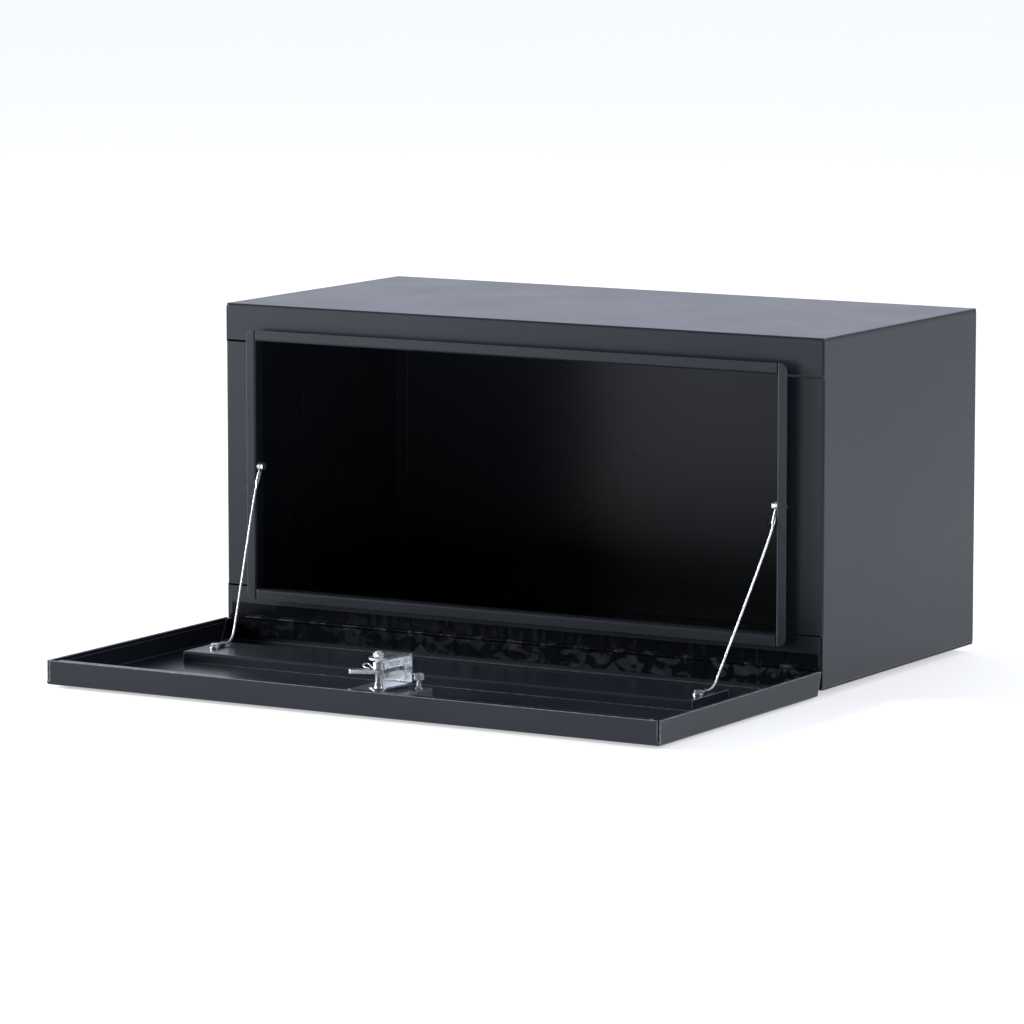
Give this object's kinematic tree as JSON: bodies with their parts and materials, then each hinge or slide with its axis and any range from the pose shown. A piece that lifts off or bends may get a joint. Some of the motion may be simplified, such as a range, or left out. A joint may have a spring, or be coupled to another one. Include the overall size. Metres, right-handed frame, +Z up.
{
  "type": "truck tool box",
  "caption": "Steel underbody truck tool box with a bottom-hinged drop door held level by two wire cables, a lipped opening and a recessed folding T-handle latch.",
  "frame": {"origin": "centre of the body's bottom face", "axes": "+X along the box's length, +Y to the back, away from the door, +Z up"},
  "size_m": [0.9144, 0.8785, 0.4667],
  "materials": {
    "powder_coat": "semi-gloss dark grey powder coat",
    "gloss_black": "gloss black paint on a rolled hinge",
    "zinc_plate": "bright zinc plate",
    "wire_rope": "galvanised stranded wire",
    "spring_steel": "plated spring wire",
    "stainless": "polished stainless steel",
    "lock_chrome": "bright",
    "seal_rubber": "matt black"
  },
  "bodies": {
    "box": {"top_panel": "powder_coat", "bottom_panel": "powder_coat", "left_side_panel": "powder_coat", "right_side_panel": "powder_coat", "back_panel": "powder_coat", "hinge_box_leaf": "gloss_black", "hinge_pin": "zinc_plate", "anchor_bolts": "zinc_plate", "anchor_washers": "zinc_plate", "anchor_nuts": "zinc_plate", "left_cable": "wire_rope", "right_cable": "wire_rope"},
    "door": {"door_pan": "powder_coat", "door_stiffener": "powder_coat", "latch_bracket": "powder_coat", "hinge_door_leaf": "gloss_black", "latch_frame": "zinc_plate", "frame_spacer": "zinc_plate", "spindle_collar": "zinc_plate", "torsion_spring": "spring_steel", "stop_bolt": "zinc_plate", "stop_nut": "zinc_plate", "latch_dish": "stainless", "dish_gasket": "seal_rubber", "dish_screws": "zinc_plate", "dish_nuts": "zinc_plate", "left_cable_lug": "zinc_plate", "right_cable_lug": "zinc_plate", "lug_washers": "zinc_plate", "lug_bolts": "zinc_plate", "lug_nuts": "zinc_plate"},
    "spindle": {"spindle": "zinc_plate", "spindle_nut": "zinc_plate", "cam_arm": "zinc_plate"},
    "handle": {"t_handle": "stainless", "handle_pin": "stainless"},
    "lock": {"lock_plug": "lock_chrome"},
    "left_eye": {"left_cable_eye": "zinc_plate"},
    "right_eye": {"right_cable_eye": "zinc_plate"}
  },
  "joints": [
    {"name": "door_hinge", "type": "hinge", "parent": "box", "child": "door", "pos_m": [0, -0.2265, 0.0285], "axis": [-1, 0, 0], "range_deg": [0, 90], "deforming": ["left_cable", "right_cable"]},
    {"name": "spindle_turn", "type": "hinge", "parent": "door", "child": "spindle", "pos_m": [0.003, -0.5755, 0.04], "axis": [0, 0, 1], "range_deg": [0, 60], "deforming": ["torsion_spring"]},
    {"name": "handle_fold", "type": "hinge", "parent": "spindle", "child": "handle", "pos_m": [0.003, -0.5755, 0.0005], "axis": [-1, 0, 0], "range_deg": [0, 90]},
    {"name": "lock_turn", "type": "hinge", "parent": "handle", "child": "lock", "pos_m": [0.003, -0.5635, -0.002], "axis": [0, 0, 1], "range_deg": [0, 90]},
    {"name": "left_eye_swing", "type": "hinge", "parent": "box", "child": "left_eye", "pos_m": [-0.3952, -0.2333, 0.2385], "axis": [1, 0, 0], "range_deg": [0, 24.8]},
    {"name": "right_eye_swing", "type": "hinge", "parent": "box", "child": "right_eye", "pos_m": [0.3952, -0.2333, 0.2385], "axis": [1, 0, 0], "range_deg": [0, 24.8]}
  ],
  "couplings": [
    {"joint": "left_eye_swing", "follows": "door_hinge", "ratio": 0.2753},
    {"joint": "right_eye_swing", "follows": "door_hinge", "ratio": 0.2753}
  ]
}
